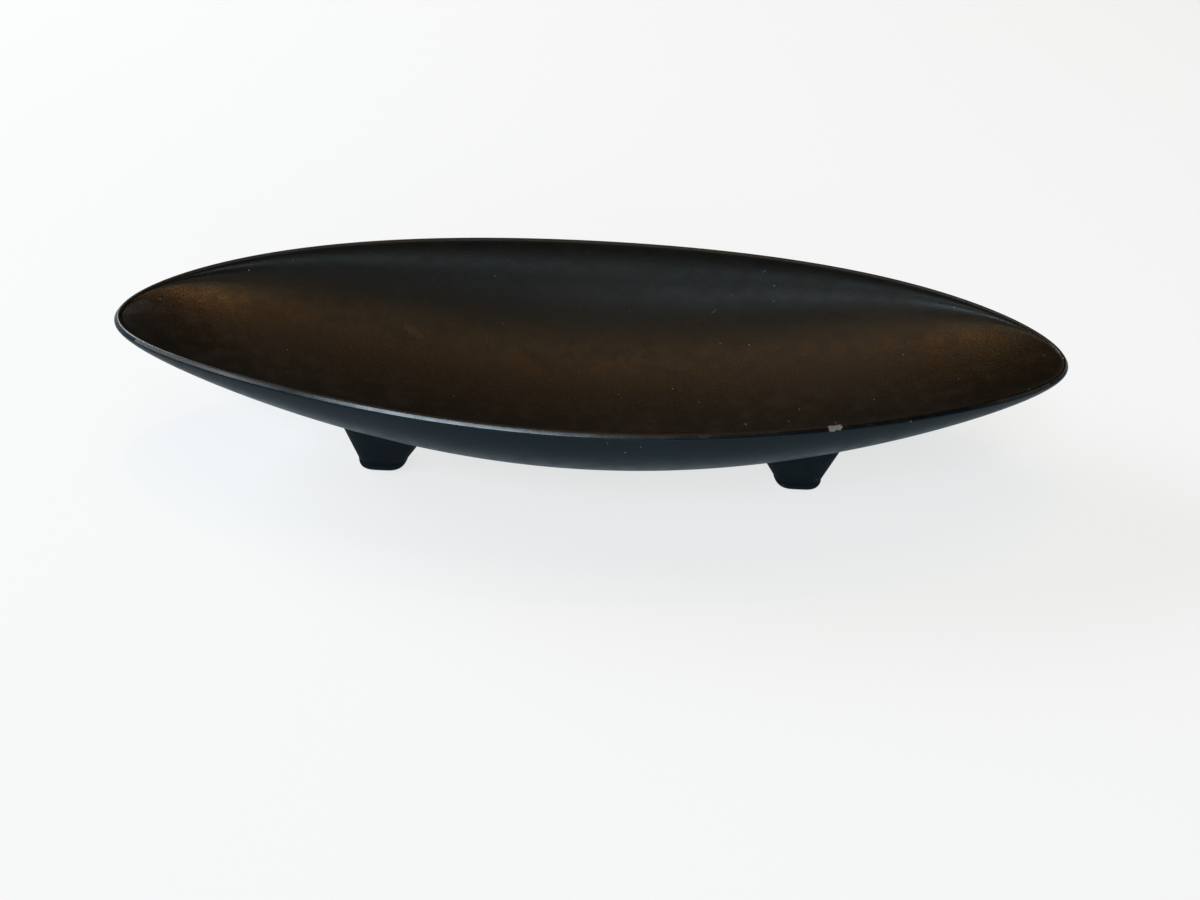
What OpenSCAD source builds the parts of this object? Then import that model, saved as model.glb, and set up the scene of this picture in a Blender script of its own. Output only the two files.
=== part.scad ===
// Ikebana suiban: a long, shallow, boat-shaped flower basin of glazed stoneware on four stubby feet.
// Millimetres. +X runs along the basin, +Y towards its far side, +Z up.
// The origin is on the table, under the middle of the basin.

/* [Basin] */
// Length over the two tips
length = 400; // [340:5:460]
// Width over the rim, in the middle
width = 140; // [124:2:170]
// Depth from the rim to the lowest point of the outside, in the middle
bowl_depth = 46.5; // [38:0.5:56]
// Thickness of the floor, in the middle
floor_t = 5; // [4:0.5:7]
// Thickness of the lip
lip_t = 3; // [2.5:0.25:4]
// Slope of the lip, which falls towards the outside, in degrees from the level
lip_slope = 40; // [30:1:50]

/* [Lines of the basin] */
// How much the plan is drawn in towards the tips from an ellipse, as a share of its width
plan_pinch = 0.16; // [0:0.01:0.2]
// Roundness of the cross section, where 2 is an ellipse and more is squarer
section_power = 2.15; // [2:0.05:2.6]
// How early the keel rises towards the tips, on the outside
keel_power = 1; // [0.9:0.05:1.1]
// How early the floor rises towards the tips, on the inside
floor_power = 1.2; // [1.1:0.05:1.4]
// Rise of the rim outside the middle
rim_rise = 7; // [4:0.5:10]
// Fall of the rim towards the tips, which takes back the rise and more
rim_fall = 10.5; // [8:0.5:13]

/* [Feet] */
// Gap between the table and the lowest point of the hull
hull_lift = 10; // [7:1:20]
// Distance along the basin from a tip to the middle of a sole
foot_from_tip = 110; // [95:1:130]
// Distance across the basin from the rim to the middle of a sole
foot_inset = 29.5; // [27:0.5:34]
// Width of a foot along the basin, where the rounding under it ends
foot_w = 21; // [17:0.5:24]
// Depth of a foot across the basin, where the rounding under it ends
foot_d = 18; // [16:0.5:20]
// Radius in plan of the rounding under a foot
foot_round = 7; // [4:0.5:7.5]
// Height of the rounding under a foot
foot_round_h = 7.5; // [4:0.5:9]
// Slope of a foot's sides, in degrees from the upright
foot_taper = 22; // [10:1:26]
// Lean of a foot towards the nearer tip, in degrees
foot_lean_tip = 12; // [0:1:18]
// Lean of a foot towards the nearer side of the rim, in degrees
foot_lean_side = 7; // [0:1:12]
// Squareness of a foot's section, where 2 is an ellipse
foot_power = 3.8; // [2:0.1:5]
// Height of the slip fillet that joins a foot to the hull
foot_fillet = 4; // [2:0.5:6]

/* [Hidden] */

// Colour of the satin black glaze
glaze = [0.13, 0.15, 0.16];

// Facets of the basin: points round each ring, and rings from the keel to the lip
around = 80;
rings = 18;

// Facets of a foot: points round each ring, steps up the rounding, and the heights of the rings above it
// as shares of the way from the rounding to the hull, closer together where the fillet is
foot_around = 28;
foot_round_steps = 5;
foot_shares = [0.3, 0.55, 0.72, 0.84, 0.93, 1];

// Passes that find where a foot's side meets the hull, and how far its blank runs on into the hull
seat_passes = 8;
seat_overrun = 3;

// Outside of the basin: half its length, and the height of the rim in the middle
half_len = length / 2;
rim_height = hull_lift + bowl_depth;

// Lip: radius of its two roundings, how far the slant between them falls, and how far the edge of the
// outside is under the rim
lip_r = lip_t / 3;
lip_fall = lip_r * tan(lip_slope);
hull_drop = lip_r + lip_fall;

// Slopes at which the lip's roundings have their points, from the outside up and from the slant on inwards
slant_turn = 90 - lip_slope;
outer_turns = [slant_turn / 2, slant_turn];
inner_turns = [slant_turn, 90, 135];

// Inside of the basin
inner_half_len = half_len - lip_t;
inner_width = width - 2 * lip_t;
inner_depth = bowl_depth - floor_t;

// Half the width of a plan of width w, at the share u of its half length
function plan_half(u, w) =
    w / 2 * sqrt(max(0, 1 - u * u)) * (1 - plan_pinch * u * u);

// Height of the rim over the table at the place x along the basin
function rim_z(x) =
    let (u = x / half_len)
    rim_height + rim_rise * pow(u, 2) - rim_fall * pow(u, 4);

// Height over the table of a hollow form at x and y. The form has half length a, width w and depth d, its
// keel rises to the tips with the power k, and its edge is the drop e under the rim.
function form_z(x, y, a, w, d, k, e) =
    let (u = x / a)
    let (keel = pow(max(0, 1 - u * u), k))
    let (share = min(1, abs(y) / max(plan_half(u, w), 0.001)))
    let (section = pow(1 - pow(share, section_power), 1 / section_power))
    rim_z(x) - e - (d - e) * keel * section;

// Height over the table of the outside of the basin
function hull_z(x, y) = form_z(x, y, half_len, width, bowl_depth, keel_power, hull_drop);

// Height over the table of the inside of the basin
function floor_z(x, y) = form_z(x, y, inner_half_len, inner_width, inner_depth, floor_power, lip_r);

// Angles of the points round the basin
turns = [for (j = [0 : around - 1]) 360 * j / around];

// Point of a plan outline at the angle t
function outline(t, a, w) = [a * cos(t), sign(sin(t)) * plan_half(cos(t), w)];

// Rings of the outside, from the keel up to the lip: each is the outline drawn in towards the middle
hull_rings = [
    for (k = [1 : rings])
        [for (t = turns)
            let (p = sin(90 * k / rings) * outline(t, half_len, width))
            [p.x, p.y, hull_z(p.x, p.y)]]
];

// Rings of the inside, from the lip down to the floor
floor_rings = [
    for (k = [rings : -1 : 1])
        [for (t = turns)
            let (p = sin(90 * k / rings) * outline(t, inner_half_len, inner_width))
            [p.x, p.y, floor_z(p.x, p.y)]]
];

// Profile of the lip from the outside to the inside, as pairs of the way in and the height over the crest
lip_profile = concat(
    [for (a = outer_turns) [lip_r - lip_r * cos(a), lip_r * sin(a) - hull_drop]],
    [for (a = inner_turns) [lip_t - lip_r - lip_r * cos(a), lip_r * sin(a) - lip_r]]
);

// Rings over the lip, from the outside to the inside
lip_rings = [
    for (q = lip_profile)
        [for (t = turns)
            let (outer = outline(t, half_len, width))
            let (inner = outline(t, inner_half_len, inner_width))
            let (p = outer + q.x / lip_t * (inner - outer))
            [p.x, p.y, rim_z(p.x) + q.y]]
];

// A closed skin through a list of rings, with a point at each end. Every ring has as many points as the first.
module loft(ring_list, first, last) {
    n = len(ring_list[0]);
    count = len(ring_list);
    end = count * n + 1;
    points = concat([first], [for (r = ring_list) each r], [last]);
    start_faces = [for (j = [0 : n - 1]) [0, 1 + j, 1 + (j + 1) % n]];
    side_faces = [
        for (k = [0 : count - 2])
            for (j = [0 : n - 1])
                let (a = 1 + k * n + j)
                let (b = 1 + k * n + (j + 1) % n)
                each [[a, a + n, b + n], [a, b + n, b]]
    ];
    end_faces = [
        for (j = [0 : n - 1])
            [end - n + j, end, end - n + (j + 1) % n]
    ];
    polyhedron(points = points, faces = concat(start_faces, side_faces, end_faces));
}

// The basin: the outside up to the lip, over the slanted lip, and down the inside to the floor
module bowl() {
    color(glaze)
        loft(concat(hull_rings, lip_rings, floor_rings), [0, 0, hull_z(0, 0)], [0, 0, floor_z(0, 0)]);
}

// First point of the quarter of the basin that the signs in side give
function quarter_start(side) =
    let (quarter = side.y > 0 ? (side.x > 0 ? 0 : 1) : (side.x > 0 ? 3 : 2))
    quarter * around / 4;

// One quarter of the basin's outside as a full solid, which shapes the seat of the foot under it. Its facets
// are the basin's own, so that a foot and the basin meet face to face.
module hull_quarter(side) {
    start = quarter_start(side);
    keel_z = hull_z(0, 0);
    quarter_rings = [
        for (k = [0 : rings - 1])
            concat(
                [for (j = [0 : around / 4]) hull_rings[k][(start + j) % around]],
                [[0, 0, keel_z + bowl_depth * (k + 1) / (rings + 1)]]
            )
    ];
    loft(quarter_rings, [0, 0, keel_z], [0, 0, rim_height]);
}

// Place of the middle of a sole, away from the middle of the basin
foot_x = half_len - foot_from_tip;
foot_y = plan_half(foot_x / half_len, width) - foot_inset;

// How far a foot's side stands out from its sole at the height z over the table
function foot_grow(z) =
    let (rest = 1 - min(1, z / foot_round_h))
    foot_round * sqrt(1 - rest * rest) + max(0, z - foot_round_h) * tan(foot_taper);

// How far the fillet stands out at the distance gap under the hull, which it meets at half a right angle
function fillet_grow(gap) = pow(foot_fillet - min(foot_fillet, gap), 2) / (2 * foot_fillet);

// Middle of a foot's section at the height z over the table. side gives the foot's quarter, as signs.
function foot_mid(z, side) = [
    side.x * (foot_x - z * tan(foot_lean_tip)),
    side.y * (foot_y - z * tan(foot_lean_side))
];

// Point on a foot's side at the angle t and the height z, where the side stands out by grow
function foot_xy(t, z, side, grow) =
    let (half_w = foot_w / 2 - foot_round + grow)
    let (half_d = foot_d / 2 - foot_round + grow)
    foot_mid(z, side) + [
        half_w * sign(cos(t)) * pow(abs(cos(t)), 2 / foot_power),
        half_d * sign(sin(t)) * pow(abs(sin(t)), 2 / foot_power)
    ];

// Height at which a foot's side meets the hull at the angle t, found by stepping up to it
function foot_seat(t, side, z, passes) =
    let (p = foot_xy(t, z, side, foot_grow(z) + fillet_grow(0)))
    passes == 0 ? hull_z(p.x, p.y) : foot_seat(t, side, hull_z(p.x, p.y), passes - 1);

// A foot's blank: flat sole, rounding, tapering sides and fillet, running on into the hull
module foot_blank(side) {
    foot_turns = [for (j = [0 : foot_around - 1]) 360 * j / foot_around];
    middle = foot_mid(hull_lift, side);
    middle_z = hull_z(middle.x, middle.y);
    seats = [for (t = foot_turns) foot_seat(t, side, middle_z, seat_passes)];
    round_rings = [
        for (k = [0 : foot_round_steps])
            let (z = foot_round_h * (1 - cos(90 * k / foot_round_steps)))
            [for (t = foot_turns)
                let (p = foot_xy(t, z, side, foot_grow(z)))
                [p.x, p.y, z]]
    ];
    side_rings = [
        for (share = foot_shares)
            [for (j = [0 : foot_around - 1])
                let (z = foot_round_h + share * (seats[j] - foot_round_h))
                let (p = foot_xy(foot_turns[j], z, side, foot_grow(z) + fillet_grow(seats[j] - z)))
                [p.x, p.y, z]]
    ];
    top_ring = [for (p = side_rings[len(side_rings) - 1]) p + [0, 0, seat_overrun]];
    sole = foot_mid(0, side);
    loft(
        concat(round_rings, side_rings, [top_ring]),
        [sole.x, sole.y, 0],
        [middle.x, middle.y, middle_z + seat_overrun]
    );
}

// A foot, with its top cut to the hull that it is set on
module foot(side) {
    color(glaze)
        difference() {
            foot_blank(side);
            hull_quarter(side);
        }
}

bowl();
foot([-1, -1]);  // foot_front_left
foot([1, -1]);  // foot_front_right
foot([-1, 1]);  // foot_rear_left
foot([1, 1]);  // foot_rear_right
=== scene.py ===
"""The looks of an ikebana suiban: a boat-shaped stoneware basin on four feet, in satin black glaze.

Blender works in metres, with +X along the basin, +Y towards its far side, +Z up, and the origin on the table
under the middle of the basin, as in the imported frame. Sizes below whose names give no unit are in
millimetres, and angles in degrees.
"""

import logging
import math
from collections.abc import Callable
from dataclasses import dataclass, field, replace
from enum import Enum, IntEnum
from typing import Any, Optional, Union

import bpy
import numpy as np
from mathutils import Matrix, Vector

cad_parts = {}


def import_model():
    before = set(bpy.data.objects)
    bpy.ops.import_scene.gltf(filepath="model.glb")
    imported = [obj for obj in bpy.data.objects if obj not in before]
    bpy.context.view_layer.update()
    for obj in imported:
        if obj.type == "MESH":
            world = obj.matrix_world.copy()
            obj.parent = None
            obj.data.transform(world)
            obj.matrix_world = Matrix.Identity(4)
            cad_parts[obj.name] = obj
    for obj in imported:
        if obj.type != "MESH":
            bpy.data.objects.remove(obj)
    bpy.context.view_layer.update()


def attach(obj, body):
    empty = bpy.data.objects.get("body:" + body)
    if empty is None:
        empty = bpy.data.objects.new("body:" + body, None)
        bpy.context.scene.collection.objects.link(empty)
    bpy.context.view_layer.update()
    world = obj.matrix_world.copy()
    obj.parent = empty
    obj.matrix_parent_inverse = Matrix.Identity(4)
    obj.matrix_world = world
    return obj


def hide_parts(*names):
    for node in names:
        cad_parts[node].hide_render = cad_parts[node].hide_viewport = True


log = logging.getLogger("suiban")

MM = 0.001
IMAGE_WIDTH_PX = 1200
IMAGE_HEIGHT_PX = 900
SENSOR_WIDTH_MM = 36.0
# Point layer of where a brown glint is painted on the lip's inner edge: a painted reflection of the warm
# lamps.
LIP_GLINT_LAYER = "painted_lip_glint"
LEAST_WIDTH_MM = 0.001

Socket = bpy.types.NodeSocket
Point = tuple[float, float, float]
Range = tuple[float, float]
Inputs = dict[Any, Any]
HeightAt = Callable[[np.ndarray, np.ndarray], np.ndarray]


class Side(Enum):
    """The four feet, each with the signs of its place along X and Y."""

    FRONT_LEFT = (-1, -1)
    FRONT_RIGHT = (1, -1)
    REAR_LEFT = (-1, 1)
    REAR_RIGHT = (1, 1)

    @property
    def node(self) -> str:
        """Name of the CAD node of this foot."""
        return "foot_" + self.name.lower()


class BasinZone(IntEnum):
    """Parts of the basin's skin that take a finish each, numbered as the material slots of its mesh."""

    OUTSIDE = 0
    LIP_SLANT = 1
    INSIDE = 2


class FootZone(IntEnum):
    """Parts of a foot's skin that take a finish each, numbered as the material slots of its mesh."""

    GLAZED = 0
    WIPED = 1


class Coordinates(Enum):
    """What a pattern is laid over, with Blender's name for those coordinates."""

    OBJECT = "Object"
    DIRECTION = "Generated"


# ---- Meshes ----


@dataclass(frozen=True)
class Skin:
    """A closed surface through rows of points, with one more point that closes each end.

    Point (k, j) joins (k + 1, j) and (k, j + 1), and the last column joins the first.

    Attributes:
        rows: Points in millimetres, shaped (rows, columns, 3).
        first: Point before the first row.
        last: Point after the last row.
        zones: Number of the finish of each face, shaped (rows - 1, columns).
        painted_lip_glint: Share at each point of a painted reflection of the warm lamps, from 0 to 1, shaped
            (rows, columns).
    """

    rows: np.ndarray
    first: np.ndarray
    last: np.ndarray
    zones: np.ndarray
    painted_lip_glint: np.ndarray

    def faces(self) -> tuple[np.ndarray, np.ndarray]:
        """Point numbers of the faces between the rows, and of the triangles that close the ends.

        The face (k, j) goes round the points (k, j), (k, j + 1), (k + 1, j + 1) and (k + 1, j).

        Returns:
            The faces between the rows, shaped (n, 4), and the triangles, shaped (m, 3).
        """
        count, around = self.rows.shape[:2]
        k, j = np.meshgrid(np.arange(count - 1), np.arange(around), indexing="ij")
        here = k * around + j
        right = k * around + (j + 1) % around
        quads = np.stack([here, right, right + around, here + around], -1).reshape(-1, 4)
        ring = np.arange(around)
        following = (ring + 1) % around
        start = np.stack([np.full(around, count * around), following, ring], -1)
        base = (count - 1) * around
        end = np.stack([np.full(around, count * around + 1), base + ring, base + following], -1)
        return quads, np.concatenate([start, end])

    def build(self, name: str, finishes: list[bpy.types.Material]) -> bpy.types.Object:
        """Makes the surface as a smooth-shaded object at the origin, with its faces outwards.

        The faces are turned round if the volume that they enclose comes out negative. The triangles at an
        end take the finish of the faces beside them, and its point the mean of the row's painted lamp glint.

        Args:
            name: Name of the object.
            finishes: The finishes by number.

        Returns:
            The object.
        """
        points = np.concatenate([self.rows.reshape(-1, 3), [self.first, self.last]]) * MM
        quads, ends = self.faces()
        if enclosed_volume(points, np.concatenate([quads[:, [0, 1, 2]], quads[:, [0, 2, 3]], ends])) < 0:
            quads, ends = quads[:, ::-1], ends[:, ::-1]
        mesh = bpy.data.meshes.new(name)
        mesh.from_pydata(points.tolist(), [], quads.tolist() + ends.tolist())
        mesh.polygons.foreach_set("use_smooth", np.ones(len(mesh.polygons), bool))
        # Share of the painted lamp reflection at each point, and at the two closing points.
        painted_lip_glint = np.concatenate([self.painted_lip_glint.reshape(-1), [self.painted_lip_glint[0].mean(), self.painted_lip_glint[-1].mean()]])
        layer = mesh.attributes.new(LIP_GLINT_LAYER, "FLOAT", "POINT")
        layer.data.foreach_set("value", painted_lip_glint.astype(np.float32))
        for finish in finishes:
            mesh.materials.append(finish)
        zones = np.concatenate([self.zones.reshape(-1), self.zones[0], self.zones[-1]])
        mesh.polygons.foreach_set("material_index", zones.astype(np.int32))
        mesh.update()
        piece = bpy.data.objects.new(name, mesh)
        bpy.context.scene.collection.objects.link(piece)
        return piece


def enclosed_volume(points: np.ndarray, triangles: np.ndarray) -> float:
    """Volume inside a closed skin, by summing a . (b x c) / 6 over its triangles.

    Args:
        points: Points, shaped (n, 3).
        triangles: Point numbers, shaped (m, 3).

    Returns:
        The volume, negative where the triangles point inwards.
    """
    a, b, c = points[triangles[:, 0]], points[triangles[:, 1]], points[triangles[:, 2]]
    return float(np.einsum("ij,ij->i", a, np.cross(b, c)).sum() / 6)


def raised(plan: np.ndarray, z: np.ndarray) -> np.ndarray:
    """Points of a plan, shaped (..., 2), each raised to its height z."""
    return np.concatenate([plan, z[..., None]], -1)


# ---- Finishes ----


# A mix node has inputs of the same names for numbers, vectors and colours, so these pick out the colours.
MIX_SHARE, MIX_UNDER, MIX_OVER, MIX_RESULT = 0, 6, 7, 2
SMOOTH = {"interpolation_type": "SMOOTHSTEP"}


def linear(colour: str) -> tuple[float, float, float, float]:
    """Linear RGBA of an sRGB colour: s / 12.92 up to 0.04045, and ((s + 0.055) / 1.055)^2.4 above.

    Args:
        colour: The colour, written as "#rrggbb".

    Returns:
        Red, green, blue and an alpha of 1.
    """
    shares = [int(colour[i : i + 2], 16) / 255 for i in (1, 3, 5)]
    red, green, blue = [s / 12.92 if s <= 0.04045 else ((s + 0.055) / 1.055) ** 2.4 for s in shares]
    return red, green, blue, 1.0


def between(value: Socket, ends: Range) -> Inputs:
    """Inputs of a range node, which rises from 0 to 1 as value goes from the first end to the second."""
    return {"Value": value, "From Min": ends[0], "From Max": ends[1]}


class Recipe:
    """The node tree of a material or of the world, built up one node at a time."""

    def __init__(self, owner: Union[bpy.types.Material, bpy.types.World], over: Coordinates) -> None:
        """Starts an empty tree.

        Args:
            owner: The new material or world.
            over: What its patterns are laid over.
        """
        owner.use_nodes = True
        self.tree = owner.node_tree
        self.tree.nodes.clear()
        self.place = self.add("TexCoord")[over.value]

    def add(self, kind: str, values: Optional[Inputs] = None, **settings: Any) -> bpy.types.NodeOutputs:
        """Adds a node with its settings and links.

        Args:
            kind: Blender's name for the type of node, without the ShaderNode that it starts with.
            values: Inputs by name or number, each a value, an output to link, or None for nothing.
            **settings: Properties of the node.

        Returns:
            The outputs of the new node.
        """
        node = self.tree.nodes.new("ShaderNode" + kind)
        for key, setting in settings.items():
            setattr(node, key, setting)
        for key, value in (values or {}).items():
            if isinstance(value, bpy.types.NodeSocket):
                self.tree.links.new(value, node.inputs[key])
            elif value is not None:
                node.inputs[key].default_value = value
        return node.outputs


@dataclass(frozen=True)
class Noise:
    """The sizes of a noise pattern.

    Attributes:
        size_mm: About how wide its patches are.
        detail: How many finer layers break them up.
        roughness: How strong each layer is beside the one before.
    """

    size_mm: float
    detail: float = 2.0
    roughness: float = 0.5

    def inputs(self, place: Socket) -> Inputs:
        """Inputs of a noise node of these sizes, laid over the coordinates place."""
        scale = 1 / (self.size_mm * MM)
        return {"Vector": place, "Scale": scale, "Detail": self.detail, "Roughness": self.roughness}


@dataclass(frozen=True)
class Mark:
    """A mark along a short line, where the glaze is rubbed or flaked off, or where a highlight is painted.

    A flake of the lip bares the pinkish-grey clay. A rub is a faint pale line. A painted glow is a small
    brown patch that is a painted highlight of the warm lamps' reflection, a little smoother as well.

    Attributes:
        start_mm: One end of the line, and end_mm the other.
        half_width_mm: How far the mark reaches to each side, about.
        ragged_mm: Size of the noise that makes its edge ragged.
        ragged_share: How far the noise moves the edge, as a share of the half width.
        strength: How much of its colour shows.
        colour: Its colour.
        roughening: How much rougher it is than the glaze, or smoother where negative.
        depth_mm: How far it stands out, or goes in where negative.
        edge_softness: Half the stretch over which it fades, as a share of the half width.
    """

    start_mm: Point
    end_mm: Point
    half_width_mm: float
    ragged_mm: float
    ragged_share: float
    strength: float
    colour: str
    roughening: float
    depth_mm: float
    edge_softness: float = 0.12

    def away(self, mix: Recipe) -> Socket:
        """Distance in metres from the line: |q - h s|.

        s is the way from the line's start to its end, q the way from its start to the place, and h is
        q . s / s . s, kept from 0 to 1.

        Args:
            mix: The recipe that the nodes go into.

        Returns:
            The distance.
        """
        start = Vector(self.start_mm) * MM
        line = Vector(self.end_mm) * MM - start
        way = mix.add("VectorMath", {0: mix.place, 1: start}, operation="SUBTRACT")[0]
        product = mix.add("VectorMath", {0: way, 1: line}, operation="DOT_PRODUCT")["Value"]
        share = mix.add("Math", {0: product, 1: line.length_squared}, operation="DIVIDE")[0]
        kept = mix.add("Clamp", {0: share})[0]
        nearest = mix.add("VectorMath", {0: line, "Scale": kept}, operation="SCALE")[0]
        rest = mix.add("VectorMath", {0: way, 1: nearest}, operation="SUBTRACT")[0]
        return mix.add("VectorMath", {0: rest}, operation="LENGTH")["Value"]

    def share(self, mix: Recipe) -> Socket:
        """How much of the mark is at a place: its strength near the line, and less at a ragged edge.

        The noise is a half in the mean, and there the edge is a half width from the line.

        Args:
            mix: The recipe that the nodes go into.

        Returns:
            From 0 to the mark's strength.
        """
        half_widths = mix.add("Math", {0: self.away(mix), 1: self.half_width_mm * MM}, operation="DIVIDE")[0]
        noise = mix.add("TexNoise", Noise(self.ragged_mm, detail=3.0).inputs(mix.place))["Fac"]
        pulled = {0: noise, 1: self.ragged_share, 2: half_widths}
        ragged = mix.add("Math", pulled, operation="MULTIPLY_ADD")[0]
        edge = 1 + self.ragged_share / 2
        ends = (edge + self.edge_softness, edge - self.edge_softness)
        near = mix.add("MapRange", between(ragged, ends), **SMOOTH)["Result"]
        return mix.add("Math", {0: near, 1: self.strength}, operation="MULTIPLY")[0]

    def lay(
        self, mix: Recipe, colour: Socket, rough: Socket, normal: Socket
    ) -> tuple[Socket, Socket, Socket]:
        """Lays the mark over a surface.

        Args:
            mix: The recipe that the nodes go into.
            colour: The surface's colour.
            rough: Its roughness.
            normal: Its relief.

        Returns:
            The colour, roughness and relief with the mark on it.
        """
        share = self.share(mix)
        tones = {MIX_SHARE: share, MIX_UNDER: colour, MIX_OVER: linear(self.colour)}
        colour = mix.add("Mix", tones, data_type="RGBA")[MIX_RESULT]
        rough = mix.add("Math", {0: share, 1: self.roughening, 2: rough}, operation="MULTIPLY_ADD")[0]
        noise = mix.add("TexNoise", Noise(self.ragged_mm).inputs(mix.place))["Fac"]
        height = mix.add("Math", {0: share, 1: noise}, operation="MULTIPLY")[0]
        bumps = {"Height": height, "Distance": self.depth_mm * MM, "Strength": 1.0, "Normal": normal}
        return colour, rough, mix.add("Bump", bumps)["Normal"]


@dataclass(frozen=True)
class SatinGlaze:
    """Stoneware under a satin black ash glaze, as set for one part of the surface, tints of painted light
    included.

    The pot is dipped in one glaze and fired once. The glaze is thick and even, so what the eye gets is a
    soft sheen over near black, cloudy where it lies thinner, with a fine grain of crystals that breaks up
    the lamps' reflections. The real crystals are finer than 1 mm, and are drawn this coarse so that they
    show.

    Attributes:
        name: Name of the material.
        ground: Colour where the glaze lies thickest, with the part's tint of painted light where it has one.
        cloud: Colour that clouds and mottle add to it.
        crystals: Colour of the crystals.
        crystal_share: How much of that colour shows.
        roughness: Roughness of the ground, which mottle, tips and dust add to.
        refraction: Index of refraction, which sets how strongly the glaze mirrors.
        grain_depth_mm: Depth of the crystals' relief.
        tip_roughening: How much rougher it gets towards the basin's tips, or smoother where negative.
        tip_range_mm: Where along X that change starts and ends.
        painted_lip_glint: Colour of the painted reflection of the warm lamps on the lip's inner edge.
        lip_glint_share: How much of that painted reflection shows.
        cloud_range: Values of the noise over which a cloud comes up, as mottle_range and crystal_range are.
        mottle_share: Share of the mottle beside the clouds.
        waver: The faint waver that the potter's hands left.
        peel: The orange peel that the glaze dried to.
        dust_apart_mm: Size of the cells that hold a speck each at most.
        dust_range: Distance from a cell's middle, in cells, over which its speck comes up.
        dust_cells: Shades of a cell over which its speck goes from none to all.
    """

    name: str
    ground: str
    cloud: str
    crystals: str
    crystal_share: float
    roughness: float
    refraction: float
    grain_depth_mm: float = 0.06
    tip_roughening: float = 0.0
    tip_range_mm: Range = (135.0, 172.0)
    # Painted reflection: the warm lamps' glint on the lip's inner edge, painted brown.
    painted_lip_glint: str = "#33271b"
    lip_glint_share: float = 0.7
    clouds: Noise = Noise(55.0, detail=3.0)
    cloud_range: Range = (0.35, 0.7)
    mottle: Noise = Noise(7.0, detail=4.0)
    mottle_range: Range = (0.4, 0.75)
    mottle_share: float = 0.35
    mottle_roughening: float = 0.1
    grain: Noise = Noise(1.1, roughness=0.6)
    crystal_range: Range = (0.6, 0.8)
    waver: Noise = Noise(55.0, detail=1.0)
    waver_depth_mm: float = 0.35
    peel: Noise = Noise(3.5)
    peel_depth_mm: float = 0.035
    dust: str = "#8f8b84"
    dust_apart_mm: float = 6.0
    dust_range: Range = (0.06, 0.03)
    dust_cells: Range = (0.5, 0.95)
    dust_roughening: float = 0.4

    def material(self, marks: tuple[Mark, ...] = ()) -> bpy.types.Material:
        """Builds the finish as a material.

        Args:
            marks: Marks on this part of the surface.

        Returns:
            The material.
        """
        material = bpy.data.materials.new(self.name)
        mix = Recipe(material, Coordinates.OBJECT)
        noise = mix.add("TexNoise", self.mottle.inputs(mix.place))["Fac"]
        mottle = mix.add("MapRange", between(noise, self.mottle_range), **SMOOTH)["Result"]
        specks = self.specks(mix)
        colour = self.tone(mix, mottle, specks)
        rough = self.dullness(mix, mottle, specks)
        normal = self.relief(mix)
        for mark in marks:
            colour, rough, normal = mark.lay(mix, colour, rough, normal)
        surface = {"Base Color": colour, "Roughness": rough, "IOR": self.refraction, "Normal": normal}
        mix.add("OutputMaterial", {"Surface": mix.add("BsdfPrincipled", surface)[0]})
        return material

    def specks(self, mix: Recipe) -> Socket:
        """Sparse specks of dust, at the middles of some Voronoi cells.

        Args:
            mix: The recipe that the nodes go into.

        Returns:
            1 on a speck and 0 elsewhere.
        """
        grid = {"Vector": mix.place, "Scale": 1 / (self.dust_apart_mm * MM), "Randomness": 1.0}
        cells = mix.add("TexVoronoi", grid)
        dot = mix.add("MapRange", between(cells["Distance"], self.dust_range), **SMOOTH)["Result"]
        shade = mix.add("SeparateColor", {0: cells["Color"]})[0]
        dusty = mix.add("MapRange", between(shade, self.dust_cells), **SMOOTH)["Result"]
        return mix.add("Math", {0: dot, 1: dusty}, operation="MULTIPLY")[0]

    def tone(self, mix: Recipe, mottle: Socket, specks: Socket) -> Socket:
        """Colour: the ground, with clouds and mottle, crystals, painted lip glint and dust laid over it in
        turn.

        Args:
            mix: The recipe that the nodes go into.
            mottle: Where the mottle is, from 0 to 1.
            specks: Where the dust is, from 0 to 1.

        Returns:
            The colour.
        """
        noise = mix.add("TexNoise", self.clouds.inputs(mix.place))["Fac"]
        clouds = mix.add("MapRange", between(noise, self.cloud_range), **SMOOTH)["Result"]
        rest = mix.add("Math", {0: clouds, 1: 1 - self.mottle_share}, operation="MULTIPLY")[0]
        patches = mix.add("Math", {0: mottle, 1: self.mottle_share, 2: rest}, operation="MULTIPLY_ADD")[0]
        noise = mix.add("TexNoise", self.grain.inputs(mix.place))["Fac"]
        grown = mix.add("MapRange", between(noise, self.crystal_range), **SMOOTH)["Result"]
        crystals = mix.add("Math", {0: grown, 1: self.crystal_share}, operation="MULTIPLY")[0]
        # Painted reflection of the warm lamps, brown, where the point layer says, on the lip's inner edge.
        layer = mix.add("Attribute", attribute_name=LIP_GLINT_LAYER)["Fac"]
        painted_lip_glint = mix.add("Math", {0: layer, 1: self.lip_glint_share}, operation="MULTIPLY")[0]
        colour: Any = linear(self.ground)
        layers = ((patches, self.cloud), (crystals, self.crystals), (painted_lip_glint, self.painted_lip_glint), (specks, self.dust))
        for share, over in layers:
            tones = {MIX_SHARE: share, MIX_UNDER: colour, MIX_OVER: linear(over)}
            colour = mix.add("Mix", tones, data_type="RGBA")[MIX_RESULT]
        return colour

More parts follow.
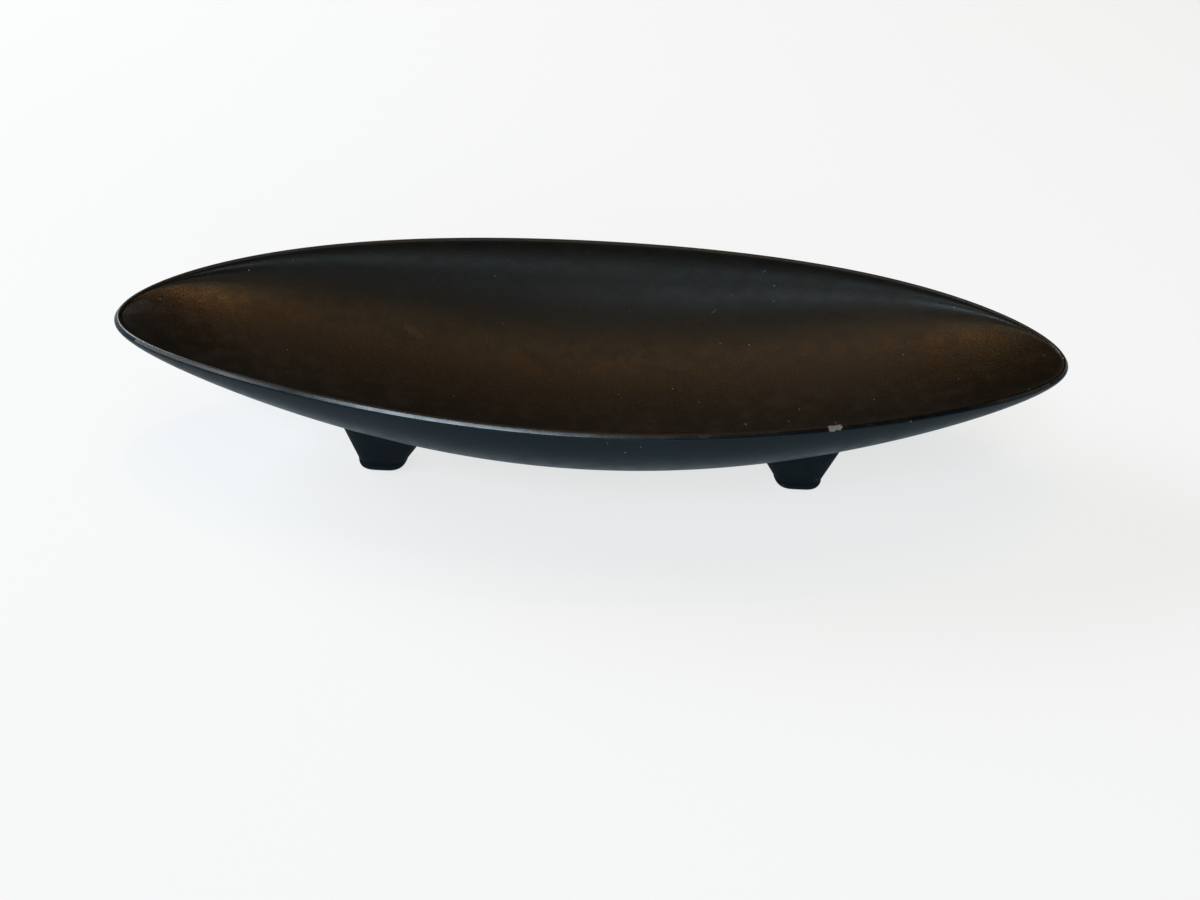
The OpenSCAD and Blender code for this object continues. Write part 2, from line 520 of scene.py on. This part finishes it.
    def dullness(self, mix: Recipe, mottle: Socket, specks: Socket) -> Socket:
        """Roughness: the ground's, with what the mottle, the tips and the dust add to it.

        Args:
            mix: The recipe that the nodes go into.
            mottle: Where the mottle is, from 0 to 1.
            specks: Where the dust is, from 0 to 1.

        Returns:
            The roughness.
        """
        x = mix.add("SeparateXYZ", {0: mix.place})["X"]
        along = mix.add("Math", {0: x}, operation="ABSOLUTE")[0]
        tip_range = (self.tip_range_mm[0] * MM, self.tip_range_mm[1] * MM)
        tips = mix.add("MapRange", between(along, tip_range), **SMOOTH)["Result"]
        rough: Any = self.roughness
        changes = (
            (mottle, self.mottle_roughening),
            (tips, self.tip_roughening),
            (specks, self.dust_roughening),
        )
        for share, change in changes:
            rough = mix.add("Math", {0: share, 1: change, 2: rough}, operation="MULTIPLY_ADD")[0]
        return rough

    def relief(self, mix: Recipe) -> Socket:
        """Relief: waver, then orange peel, then the grain of crystals, each laid over the last.

        Args:
            mix: The recipe that the nodes go into.

        Returns:
            The normal.
        """
        normal = None
        depths = (
            (self.waver, self.waver_depth_mm),
            (self.peel, self.peel_depth_mm),
            (self.grain, self.grain_depth_mm),
        )
        for noise, depth_mm in depths:
            height = mix.add("TexNoise", noise.inputs(mix.place))["Fac"]
            bumps = {"Height": height, "Distance": depth_mm * MM, "Strength": 1.0, "Normal": normal}
            normal = mix.add("Bump", bumps)["Normal"]
        return normal


@dataclass(frozen=True)
class BareClay:
    """Bare fired stoneware, wiped clean of glaze under the feet: matt, warm grey, finely gritty."""

    name: str = "bare_clay"
    dark: str = "#6c5c50"
    light: str = "#8d7c6d"
    grit: Noise = Noise(0.8, detail=3.0, roughness=0.6)
    grit_range: Range = (0.35, 0.7)
    grit_depth_mm: float = 0.08
    roughness: float = 0.85

    def material(self) -> bpy.types.Material:
        """Builds the finish: light grains in darker clay, and the relief of the same grains.

        Returns:
            The material.
        """
        material = bpy.data.materials.new(self.name)
        mix = Recipe(material, Coordinates.OBJECT)
        grit = mix.add("TexNoise", self.grit.inputs(mix.place))["Fac"]
        grains = mix.add("MapRange", between(grit, self.grit_range), **SMOOTH)["Result"]
        tones = {MIX_SHARE: grains, MIX_UNDER: linear(self.dark), MIX_OVER: linear(self.light)}
        colour = mix.add("Mix", tones, data_type="RGBA")[MIX_RESULT]
        bumps = {"Height": grit, "Distance": self.grit_depth_mm * MM, "Strength": 1.0}
        normal = mix.add("Bump", bumps)["Normal"]
        surface = {"Base Color": colour, "Roughness": self.roughness, "Normal": normal}
        mix.add("OutputMaterial", {"Surface": mix.add("BsdfPrincipled", surface)[0]})
        return material


@dataclass(frozen=True)
class PaleTable:
    """Matt white table top: plain diffuse paint, with a very faint unevenness.

    The camera and the glaze see it partly as an even white, so that the background stays white and the
    shadow stays on it, with no more light on the pot. The glaze's white is the cooler one.
    """

    name: str = "white_table"
    light: str = "#fbfbfb"
    shade: str = "#f8f8f8"
    patches: Noise = Noise(400.0)
    backdrop: str = "#ffffff"
    white_share: float = 0.72
    mirrored: str = "#dcecf8"
    mirrored_share: float = 0.42

    def material(self) -> bpy.types.Material:
        """Builds the finish: paint, mixed with even white by the kind of ray that meets it.

        Returns:
            The material.
        """
        material = bpy.data.materials.new(self.name)
        mix = Recipe(material, Coordinates.OBJECT)
        noise = mix.add("TexNoise", self.patches.inputs(mix.place))["Fac"]
        tones = {MIX_SHARE: noise, MIX_UNDER: linear(self.light), MIX_OVER: linear(self.shade)}
        paint = mix.add("BsdfDiffuse", {"Color": mix.add("Mix", tones, data_type="RGBA")[MIX_RESULT]})[0]
        rays = mix.add("LightPath")
        camera, glossy = rays["Is Camera Ray"], rays["Is Glossy Ray"]
        tones = {MIX_SHARE: camera, MIX_UNDER: linear(self.mirrored), MIX_OVER: linear(self.backdrop)}
        even = mix.add("Mix", tones, data_type="RGBA")[MIX_RESULT]
        white = mix.add("Emission", {"Color": even, "Strength": 1.0})[0]
        mirrored = mix.add("Math", {0: glossy, 1: self.mirrored_share}, operation="MULTIPLY")[0]
        share = mix.add("Math", {0: camera, 1: self.white_share, 2: mirrored}, operation="MULTIPLY_ADD")[0]
        mix.add("OutputMaterial", {"Surface": mix.add("MixShader", {0: share, 1: paint, 2: white})[0]})
        return material


@dataclass(frozen=True)
class Finishes:
    """The finishes of the pot: four settings of its one glaze, tinted with painted light, the clay under it,
    and its marks.

    The glaze is near black. Its blue outside and on the feet is painted cool light from the left and the
    front, and its brown inside is painted warm light of the lamps above and behind. The feet are painted
    darker, as painted shade under the hull, and dull. It is glossier on the slant of the lip. Towards the
    tips it gets smoother inside and rougher on the lip.
    """

    # Blue-black: near-black glaze with a painted tint of the cool light from the left and the front.
    outside: SatinGlaze = SatinGlaze(
        name="glaze_outside",
        ground="#06141a",
        cloud="#0b1a20",
        crystals="#16262c",
        crystal_share=0.35,
        roughness=0.34,
        refraction=1.25,
    )
    lip: SatinGlaze = SatinGlaze(
        name="glaze_lip",
        ground="#080808",
        cloud="#0b0b0b",
        crystals="#121212",
        crystal_share=0.2,
        roughness=0.22,
        refraction=1.8,
        grain_depth_mm=0.01,
        tip_roughening=0.3,
    )
    # Brown-black, with brown clouds and crystals: near-black glaze with a painted tint of the warm lamps
    # above and behind.
    inside: SatinGlaze = SatinGlaze(
        name="glaze_inside",
        ground="#110d07",
        cloud="#19130b",
        crystals="#382c1e",
        crystal_share=0.6,
        roughness=0.42,
        refraction=1.34,
        grain_depth_mm=0.09,
        tip_roughening=-0.12,
    )
    # Darker blue-black: painted cool light, and painted shade under the hull.
    feet: SatinGlaze = SatinGlaze(
        name="glaze_feet",
        ground="#060e13",
        cloud="#0a151a",
        crystals="#121e24",
        crystal_share=0.3,
        roughness=0.65,
        refraction=1.16,
    )
    clay: BareClay = BareClay()
    flake: Mark = Mark(
        start_mm=(87.2, -60.2, 56.9),
        end_mm=(90.4, -59.3, 57.3),
        half_width_mm=1.1,
        ragged_mm=1.0,
        ragged_share=2.0,
        strength=0.95,
        colour="#7c706a",
        roughening=0.5,
        depth_mm=-0.4,
    )
    # Painted highlight: the warm lamps' glow on the far wall inside, painted as a brown patch; it is also a
    # little smoother.
    painted_glow: Mark = Mark(
        start_mm=(-86.5, 29.4, 28.6),
        end_mm=(-81.5, 26.4, 26.8),
        half_width_mm=2.0,
        ragged_mm=1.2,
        ragged_share=2.2,
        strength=0.2,
        colour="#4a3c22",
        roughening=-0.06,
        depth_mm=0.01,
    )
    short_rub: Mark = Mark(
        start_mm=(88.5, 59.2, 52.0),
        end_mm=(84.3, 54.9, 43.0),
        half_width_mm=0.3,
        ragged_mm=2.5,
        ragged_share=1.4,
        strength=0.4,
        colour="#6f7274",
        roughening=0.05,
        depth_mm=0.01,
    )
    long_rub: Mark = replace(
        short_rub, start_mm=(78.7, 59.5, 50.8), end_mm=(54.9, 49.9, 31.5), strength=0.3
    )


# ---- The pot ----


@dataclass
class Basin:
    """The boat-shaped basin: one wall whose lip slants outwards, on the same lines as in the part's source.

    Attributes:
        length: Length over the tips.
        width: Width in the middle.
        depth: Height of the rim over the lowest place of the outside, in the middle.
        lift: Height of that place over the table.
        floor_t: Thickness of the wall at the bottom.
        lip_t: Thickness of the lip.
        plan_pinch: How much the plan is drawn in towards the tips.
        section_power: Roundness of the section, 2 for an ellipse and more for a squarer one.
        keel_power: How early the outside rises towards the tips.
        floor_power: How early the inside does.
        rim_rise: How much the rim rises towards the tips.
        rim_fall: How much it falls again close to them.
        lip_slope: Slope of the lip's slant.
        around: Points round a row.
        wall_rings: Rows on the outside, and again on the inside.
        lip_rings: Rows on the lip's outer rounding, and half the rows on its inner one.
        lip_glint_reach: How far under the crest the painted reflection of the warm lamps reaches.
        lip_glint_from: Share of the way over the lip from where that painted reflection starts.
        gloss_to: Place along X where the glossy slant ends.
    """

    length: float = 400.0
    width: float = 140.0
    depth: float = 46.5
    lift: float = 10.0
    floor_t: float = 5.0
    lip_t: float = 3.0
    plan_pinch: float = 0.16
    section_power: float = 2.15
    keel_power: float = 1.0
    floor_power: float = 1.2
    rim_rise: float = 7.0
    rim_fall: float = 10.5
    lip_slope: float = 40.0
    around: int = 384
    wall_rings: int = 90
    lip_rings: int = 8
    lip_glint_reach: float = 1.0
    lip_glint_from: float = 0.8
    gloss_to: float = 184.0

    @property
    def half_len(self) -> float:
        """Half the length over the tips."""
        return self.length / 2

    @property
    def rim_height(self) -> float:
        """Height of the rim over the table, in the middle."""
        return self.lift + self.depth

    @property
    def lip_r(self) -> float:
        """Radius of the lip's two roundings, with a slant of the same reach between them."""
        return self.lip_t / 3

    @property
    def hull_drop(self) -> float:
        """How far the edge of the outside is under the rim: a rounding and the fall of the slant."""
        return self.lip_r * (1 + math.tan(math.radians(self.lip_slope)))

    def plan_half(self, u: np.ndarray, width: float) -> np.ndarray:
        """Half the plan's width at the share u of its half length: w/2 sqrt(1 - u^2) (1 - pinch u^2)."""
        return width / 2 * np.sqrt(np.clip(1 - u * u, 0, 1)) * (1 - self.plan_pinch * u * u)

    def rim_z(self, x: np.ndarray) -> np.ndarray:
        """Height of the rim at the place x: rim height + rise u^2 - fall u^4, with u = x / half length."""
        u = x / self.half_len
        return self.rim_height + self.rim_rise * u**2 - self.rim_fall * u**4

    def form_z(
        self,
        x: np.ndarray,
        y: np.ndarray,
        half_len: float,
        width: float,
        depth: float,
        power: float,
        drop: float,
    ) -> np.ndarray:
        """Height of a hollow form: rim - drop - (depth - drop) (1 - u^2)^power (1 - s^p)^(1/p).

        u is the share of the half length, s the share of the plan's half width there, and p the roundness
        of the section.

        Args:
            x: Places along the basin.
            y: Places across the basin.
            half_len: Half the form's length.
            width: The form's width in the middle.
            depth: The form's depth under the rim, in the middle.
            power: How early the form rises to its tips.
            drop: How far under the rim the form's edge is.

        Returns:
            Heights over the table.
        """
        u = np.clip(x / half_len, -1, 1)
        share = np.minimum(1, np.abs(y) / np.maximum(self.plan_half(u, width), LEAST_WIDTH_MM))
        section = (1 - share**self.section_power) ** (1 / self.section_power)
        return self.rim_z(x) - drop - (depth - drop) * (1 - u * u) ** power * section

    def hull_z(self, x: np.ndarray, y: np.ndarray) -> np.ndarray:
        """Height of the outside."""
        return self.form_z(x, y, self.half_len, self.width, self.depth, self.keel_power, self.hull_drop)

    def floor_z(self, x: np.ndarray, y: np.ndarray) -> np.ndarray:
        """Height of the inside."""
        inner, width = self.half_len - self.lip_t, self.width - 2 * self.lip_t
        return self.form_z(x, y, inner, width, self.depth - self.floor_t, self.floor_power, self.lip_r)

    def outline(self, half_len: float, width: float) -> np.ndarray:
        """Plan outline: (a cos t, sign(sin t) half width at cos t), for t once round."""
        t = np.linspace(0, 2 * np.pi, self.around, endpoint=False)
        return np.stack([half_len * np.cos(t), np.sign(np.sin(t)) * self.plan_half(np.cos(t), width)], -1)

    def lip_profile(self) -> np.ndarray:
        """Points of the lip's profile: (way in from the outside, height over the crest), outside first.

        A rounding of radius r is its centre + r (-cos a, sin a), with a the slope of its normal. The outer
        one turns from the wall up to the slant, and the inner one from the slant over the crest.

        Returns:
            The points, shaped (n, 2).
        """
        slant = math.pi / 2 - math.radians(self.lip_slope)
        low = np.linspace(0, slant, self.lip_rings)
        high = np.linspace(slant, math.pi, 2 * self.lip_rings)
        counts = [len(low), len(high)]
        centre_in = np.repeat([self.lip_r, self.lip_t - self.lip_r], counts)
        centre_up = np.repeat([-self.hull_drop, -self.lip_r], counts)
        turn = np.concatenate([low, high])
        return np.stack([centre_in - self.lip_r * np.cos(turn), centre_up + self.lip_r * np.sin(turn)], -1)

    def wall(self, outline: np.ndarray, height: HeightAt) -> np.ndarray:
        """Rows of points from near the middle out to an outline, drawn in by sin a up to a right angle.

        Args:
            outline: The outline in plan.
            height: Height of the wall's surface at a place.

        Returns:
            The points, shaped (rows, columns, 3).
        """
        drawn_in = np.sin(np.pi / 2 * np.arange(1, self.wall_rings + 1) / self.wall_rings)
        plan = drawn_in[:, None, None] * outline
        return raised(plan, height(plan[..., 0], plan[..., 1]))

    def zones(self, rows: np.ndarray) -> np.ndarray:
        """Finish of each face: outside up to the slant, then the slant itself, then inside.

        The slant is the band after the rows of the outside and of the outer rounding, which share a row.
        Close to the tips it is finished as the outside is.

        Args:
            rows: The skin's points.

        Returns:
            Numbers of finishes, shaped (rows - 1, columns).
        """
        slant = self.wall_rings + self.lip_rings - 2
        band = np.arange(len(rows) - 1)[:, None]
        glossy = (band == slant) & (np.abs(rows[:-1, :, 0]) <= self.gloss_to)
        plain = np.where(band <= slant, BasinZone.OUTSIDE, BasinZone.INSIDE)
        return np.where(glossy, BasinZone.LIP_SLANT, plain)

    def skin(self) -> Skin:
        """The skin up the outside, over the lip and down the inside.

        The lip's rows are its profile, laid from the outer outline to the inner one. The painted reflection
        of the warm lamps fades with the drop d under the crest as exp(-(d / reach)^2), on the inner edge
        only.

        Returns:
            The skin.
        """
        outer = self.outline(self.half_len, self.width)
        inner = self.outline(self.half_len - self.lip_t, self.width - 2 * self.lip_t)
        hull, floor = self.wall(outer, self.hull_z), self.wall(inner, self.floor_z)[::-1]
        profile = self.lip_profile()[1:-1]
        way_in = profile[:, 0] / self.lip_t
        plan = outer + way_in[:, None, None] * (inner - outer)
        lip = raised(plan, self.rim_z(plan[..., 0]) + profile[:, 1][:, None])
        rows = np.concatenate([hull, lip, floor])
        # Where the brown glint is painted on the lip's inner edge: a painted reflection of the warm lamps.
        over_lip = np.concatenate([np.zeros(len(hull)), way_in, np.ones(len(floor))])[:, None]
        drop = np.maximum(self.rim_z(rows[..., 0]) - rows[..., 2], 0)
        painted_lip_glint = np.exp(-((drop / self.lip_glint_reach) ** 2)) * (over_lip > self.lip_glint_from)
        middle = np.zeros((1, 2))
        first = raised(middle, self.hull_z(middle[:, 0], middle[:, 1]))[0]
        last = raised(middle, self.floor_z(middle[:, 0], middle[:, 1]))[0]
        return Skin(rows, first, last, self.zones(rows), painted_lip_glint)

    def build(self, finishes: Finishes) -> bpy.types.Object:
        """Makes the basin, dressed, in the place of its CAD node.

        Args:
            finishes: The finishes of the pot.

        Returns:
            The basin.
        """
        flake = finishes.flake
        # Marks inside, the painted glow of the warm lamps among them.
        inner_marks = (flake, finishes.painted_glow, finishes.short_rub, finishes.long_rub)
        materials = {
            BasinZone.OUTSIDE: finishes.outside.material((flake,)),
            BasinZone.LIP_SLANT: finishes.lip.material((flake,)),
            BasinZone.INSIDE: finishes.inside.material(inner_marks),
        }
        piece = self.skin().build("glazed_basin", [materials[zone] for zone in BasinZone])
        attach(piece, "root")
        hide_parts("bowl")
        return piece


@dataclass
class Foot:
    """One stubby foot, tapering down from the hull, rounded off round its flat sole.

    Attributes:
        basin: The basin that it stands under.
        side: Which foot it is.
        from_tip: How far in from the basin's tip its middle is, at the table.
        inset: How far in from the basin's edge it is there.
        width: Its size along the basin, just over the rounding.
        depth: Its size across the basin there.
        round_r: How far the rounding round the sole draws in.
        round_h: How high the rounding reaches.
        taper: Slope of the sides from the vertical.
        lean_tip: Lean of the middle from the vertical, along the basin.
        lean_side: The same across the basin.
        squareness: Power of the section's superellipse.
        fillet: Reach of the slip that joins it to the hull.
        around: Points round a row.
        round_rings: Rows on the rounding.
        side_rings: Rows on the sides.
        cap_rings: Steps from the sides to the middle of the hidden top.
        wiped_rings: Bands of faces round the sole that are wiped clean of glaze with it.
        sunk: How far the hidden top reaches into the hull.
        seat_passes: How often the section and the hull's height there are worked out in turn.
    """

    basin: Basin
    side: Side
    from_tip: float = 110.0
    inset: float = 29.5
    width: float = 21.0
    depth: float = 18.0
    round_r: float = 7.0
    round_h: float = 7.5
    taper: float = 22.0
    lean_tip: float = 12.0
    lean_side: float = 7.0
    squareness: float = 3.8
    fillet: float = 4.0
    around: int = 96
    round_rings: int = 14
    side_rings: int = 36
    cap_rings: int = 6
    wiped_rings: int = 1
    sunk: float = 0.3
    seat_passes: int = 12

    def middle(self, z: np.ndarray) -> np.ndarray:
        """Middle of the section: the foot's place, less z tan(lean) both ways.

        Args:
            z: Heights over the table.

        Returns:
            Places in plan, shaped (..., 2).
        """
        x = self.basin.half_len - self.from_tip
        y = self.basin.plan_half(np.array(x / self.basin.half_len), self.basin.width) - self.inset
        sign_x, sign_y = self.side.value
        across = sign_y * (y - z * math.tan(math.radians(self.lean_side)))
        along = sign_x * (x - z * math.tan(math.radians(self.lean_tip)))
        return np.stack([along, across], -1)

    def grow(self, z: np.ndarray) -> np.ndarray:
        """How far the side stands out from the sole: r sqrt(1 - (1 - z/h)^2) up to h, then the taper.

        Args:
            z: Heights over the table.

        Returns:
            The reach at each height.
        """
        rest = 1 - np.minimum(1, z / self.round_h)
        rounding = self.round_r * np.sqrt(1 - rest**2)
        return rounding + np.maximum(0, z - self.round_h) * math.tan(math.radians(self.taper))

    def slip(self, gap: np.ndarray) -> np.ndarray:
        """How far the slip fillet stands out at the distance gap under the hull: (f - gap)^2 / 2f."""
        return (self.fillet - np.clip(gap, 0, self.fillet)) ** 2 / (2 * self.fillet)

    def section(self, t: np.ndarray, z: np.ndarray, grow: np.ndarray) -> np.ndarray:
        """Points of the side: the middle + (a c(t), b s(t)), with c and s cos and sin to the power 2/n.

        a and b are the sole's half sizes + grow, and n is the squareness.

        Args:
            t: Angles round the section.
            z: Heights over the table.
            grow: How far the side stands out from the sole.

        Returns:
            Places in plan, shaped (..., 2).
        """
        half_w = self.width / 2 - self.round_r + grow
        half_d = self.depth / 2 - self.round_r + grow
        x = half_w * np.sign(np.cos(t)) * np.abs(np.cos(t)) ** (2 / self.squareness)
        y = half_d * np.sign(np.sin(t)) * np.abs(np.sin(t)) ** (2 / self.squareness)
        return self.middle(z) + np.stack([x, y], -1)

    def seat(self, t: np.ndarray) -> np.ndarray:
        """Height of the hull round the foot, where the section at that height meets it.

        Args:
            t: Angles round the section.

        Returns:
            Heights over the table.
        """
        seat = np.full(len(t), self.basin.lift)
        for _ in range(self.seat_passes):
            place = self.section(t, seat, self.grow(seat) + self.slip(np.zeros(1)))
            seat = self.basin.hull_z(place[:, 0], place[:, 1])
        return seat

    def skin(self) -> Skin:
        """The skin from the sole up the rounding and the sides to the hull, and in over the hidden top.

        The rounding's rows are at h (1 - cos a) and the sides' at shares sin a of the way up, with a up to a
        right angle.

        Returns:
            The skin.
        """
        t = np.linspace(0, 2 * np.pi, self.around, endpoint=False)
        top = self.seat(t) + self.sunk
        turn = np.linspace(0, np.pi / 2, self.round_rings)[:, None]
        z = np.broadcast_to(self.round_h * (1 - np.cos(turn)), (self.round_rings, self.around))
        rounding = raised(self.section(t, z, self.grow(z)), z)
        share = np.sin(np.linspace(0, np.pi / 2, self.side_rings + 1)[1:])[:, None]
        z = self.round_h + share * (top - self.round_h)
        flank = raised(self.section(t, z, self.grow(z) + self.slip(top - z)), z)
        middle = self.middle(np.array(self.basin.lift))
        inwards = np.linspace(1, 0, self.cap_rings + 1)[1:-1, None, None]
        plan = middle + inwards * (flank[-1, :, :2] - middle)
        cap = raised(plan, self.basin.hull_z(plan[..., 0], plan[..., 1]) + self.sunk)
        rows = np.concatenate([rounding, flank, cap])
        sole = raised(self.middle(np.zeros(1)), np.zeros(1))[0]
        last = raised(middle, self.basin.hull_z(middle[0], middle[1]) + self.sunk)
        wiped = np.arange(len(rows) - 1)[:, None] < self.wiped_rings
        zones = np.repeat(np.where(wiped, FootZone.WIPED, FootZone.GLAZED), self.around, 1)
        return Skin(rows, sole, last, zones, np.zeros(rows.shape[:2]))

    def build(self, glaze: bpy.types.Material, clay: bpy.types.Material) -> bpy.types.Object:
        """Makes the foot, dressed, in the place of its CAD node.

        Args:
            glaze: The finish of its sides.
            clay: The finish of its sole, which is wiped clean of glaze.

        Returns:
            The foot.
        """
        materials = {FootZone.GLAZED: glaze, FootZone.WIPED: clay}
        piece = self.skin().build("glazed_" + self.side.node, [materials[zone] for zone in FootZone])
        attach(piece, "root")
        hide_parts(self.side.node)
        return piece


# ---- The studio ----


@dataclass(frozen=True)
class Softbox:
    """A rectangular lamp that looks at the middle of the basin's opening.

    Its azimuth counts from the front, with the right side positive, and its elevation from the level.
    """

    name: str
    azimuth: float
    elevation: float
    distance_m: float
    width_m: float
    height_m: float
    watts: float
    colour: str

    def build(self, target: Vector) -> None:
        """Makes the lamp.

        Args:
            target: The point that it looks at, in metres.
        """
        lamp = bpy.data.lights.new(self.name, "AREA")
        lamp.shape = "RECTANGLE"
        lamp.size, lamp.size_y = self.width_m, self.height_m
        lamp.energy = self.watts
        lamp.color = linear(self.colour)[:3]
        holder = bpy.data.objects.new(self.name, lamp)
        a, e = math.radians(self.azimuth), math.radians(self.elevation)
        away = Vector((math.sin(a) * math.cos(e), -math.cos(a) * math.cos(e), math.sin(e)))
        holder.location = target + away * self.distance_m
        holder.rotation_euler = away.to_track_quat("Z", "Y").to_euler()
        bpy.context.scene.collection.objects.link(holder)


@dataclass(frozen=True)
class Viewpoint:
    """The photograph's viewpoint, from a fit of the basin's outline to the picture.

    The target's pixel counts right and down from the picture's corner. near_m and far_m are how near and how
    far the camera sees.
    """

    focal_px: float = 900.0
    distance_mm: float = 379.6
    azimuth: float = 1.264
    elevation: float = 34.865
    roll: float = 3.585
    target_px: tuple[float, float] = (598.7, 324.2)
    near_m: float = 0.01
    far_m: float = 50.0

    def axes(self) -> np.ndarray:
        """Rows that point right, down and forward in the picture.

        Turns about the vertical by the azimuth, looks down by the elevation, rolls about the view, and then
        swings the view so that the target falls on its pixel.

        Returns:
            A 3 by 3 turning matrix.
        """
        a, e, r = (math.radians(v) for v in (self.azimuth, self.elevation, self.roll))
        turn = np.array([[math.cos(a), -math.sin(a), 0], [math.sin(a), math.cos(a), 0], [0, 0, 1]])
        look = np.array([[1, 0, 0], [0, -math.sin(e), -math.cos(e)], [0, math.cos(e), -math.sin(e)]])
        roll = np.array([[math.cos(r), -math.sin(r), 0], [math.sin(r), math.cos(r), 0], [0, 0, 1]])
        return self.swing() @ roll @ look @ turn

    def swing(self) -> np.ndarray:
        """Turn that takes the middle of the view to the target's pixel, by the shortest way.

        Returns:
            A 3 by 3 turning matrix.
        """
        right = self.target_px[0] - IMAGE_WIDTH_PX / 2
        down = self.target_px[1] - IMAGE_HEIGHT_PX / 2
        aim = Vector((right, down, self.focal_px))
        return np.array(Vector((0, 0, 1)).rotation_difference(aim).to_matrix())

    def build(self, target_mm: np.ndarray) -> None:
        """Makes the camera and sets it as the scene's.

        Args:
            target_mm: The point that falls on the target's pixel.
        """
        axes = self.axes()
        to_target = self.swing() @ np.array([0, 0, self.distance_mm])
        place = (target_mm - axes.T @ to_target) * MM
        lens = bpy.data.cameras.new("camera")
        lens.sensor_fit = "HORIZONTAL"
        lens.sensor_width = SENSOR_WIDTH_MM
        lens.lens = self.focal_px / IMAGE_WIDTH_PX * SENSOR_WIDTH_MM
        lens.clip_start, lens.clip_end = self.near_m, self.far_m
        camera = bpy.data.objects.new("camera", lens)
        bpy.context.scene.collection.objects.link(camera)
        columns = np.stack([axes[0], -axes[1], -axes[2]], -1)
        camera.matrix_world = Matrix.Translation(place.tolist()) @ Matrix(columns.tolist()).to_4x4()
        bpy.context.scene.camera = camera


@dataclass
class Studio:
    """A pale table in a dim room, with cool light from left and front, and warm lamps above and behind.

    Attributes:
        table_half_m: Half the side of the table top.
        table_drop_m: How far it lies under the soles, so that no two faces coincide.
        walls: Light of the dim walls.
        ceiling: Light of the darker ceiling.
        wall_range: Rise of a direction, from 0 level to 1 straight up, between which walls turn to ceiling.
        backdrop: What the camera sees behind the table.
        lamps: The lamps.
    """

    table_half_m: float = 2.6
    table_drop_m: float = 0.00005
    walls: str = "#4c4640"
    ceiling: str = "#1c1a18"
    wall_range: Range = (0.05, 0.3)
    backdrop: str = "#f6f7f8"
    # Each row: name, azimuth, elevation, distance, width, height, watts, colour.
    lamps: list[Softbox] = field(
        default_factory=lambda: [
            Softbox("window", -28, 50, 3.2, 1.7, 0.8, 30, "#dcf1ff"),
            Softbox("side_window", -118, 26, 3.2, 2.0, 1.0, 90, "#e3f4ff"),
            Softbox("left_curtain", -72, 30, 3.2, 1.2, 0.8, 7, "#f4f8ff"),
            Softbox("room_in_front", 2, 12, 3.2, 4.4, 1.3, 48, "#e1f9ff"),
            Softbox("overhead", 20, 74, 3.0, 1.2, 1.2, 5, "#fff4e6"),
            Softbox("ceiling_lamp", 178, 74, 3.0, 2.4, 0.5, 9.5, "#ffefc7"),
            Softbox("back_lamp", 168, 53, 3.0, 0.5, 0.4, 2.2, "#ffc27c"),
            Softbox("spot_lamp", -174, 60, 3.0, 0.35, 0.25, 8, "#ffb46a"),
        ]
    )

    def table(self, finish: PaleTable) -> None:
        """Makes the table top, a flat square just under the soles.

        Args:
            finish: Its finish.
        """
        edge, z = self.table_half_m, -self.table_drop_m
        mesh = bpy.data.meshes.new("table")
        corners = [(-edge, -edge, z), (edge, -edge, z), (edge, edge, z), (-edge, edge, z)]
        mesh.from_pydata(corners, [], [(0, 1, 2, 3)])
        mesh.materials.append(finish.material())
        top = bpy.data.objects.new("table", mesh)
        bpy.context.scene.collection.objects.link(top)

    def room(self) -> None:
        """Sets the world: a dim room, darker overhead, in whose place the camera sees a pale backdrop."""
        world = bpy.data.worlds.new("room")
        mix = Recipe(world, Coordinates.DIRECTION)
        rise = mix.add("SeparateXYZ", {0: mix.place})["Z"]
        overhead = mix.add("MapRange", between(rise, self.wall_range), **SMOOTH)["Result"]
        tones = {MIX_SHARE: overhead, MIX_UNDER: linear(self.walls), MIX_OVER: linear(self.ceiling)}
        light = mix.add("Background", {"Color": mix.add("Mix", tones, data_type="RGBA")[MIX_RESULT]})[0]
        backdrop = mix.add("Background", {"Color": linear(self.backdrop)})[0]
        camera = mix.add("LightPath")["Is Camera Ray"]
        mix.add("OutputWorld", {"Surface": mix.add("MixShader", {0: camera, 1: light, 2: backdrop})[0]})
        bpy.context.scene.world = world

    def build(self, target_mm: np.ndarray) -> None:
        """Makes the table, the room and the lamps.

        Args:
            target_mm: The point that the lamps look at.
        """
        self.table(PaleTable())
        self.room()
        for lamp in self.lamps:
            lamp.build(Vector((target_mm * MM).tolist()))
            log.info("lamp %s", lamp.name)


def main() -> None:
    """Builds the camera, the basin, its feet and the studio, in that order."""
    logging.basicConfig(level=logging.INFO, format="%(name)s: %(message)s")
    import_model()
    bpy.context.scene.view_settings.view_transform = "Standard"
    basin = Basin()
    rim_middle = np.array([0.0, 0.0, basin.rim_height])
    Viewpoint().build(rim_middle)
    finishes = Finishes()
    piece = basin.build(finishes)
    log.info("%s: %d faces", piece.name, len(piece.data.polygons))
    glaze, clay = finishes.feet.material(), finishes.clay.material()
    for side in Side:
        piece = Foot(basin, side).build(glaze, clay)
        log.info("%s: %d faces", piece.name, len(piece.data.polygons))
    Studio().build(rim_middle)


if __name__ == "__main__":
    main()
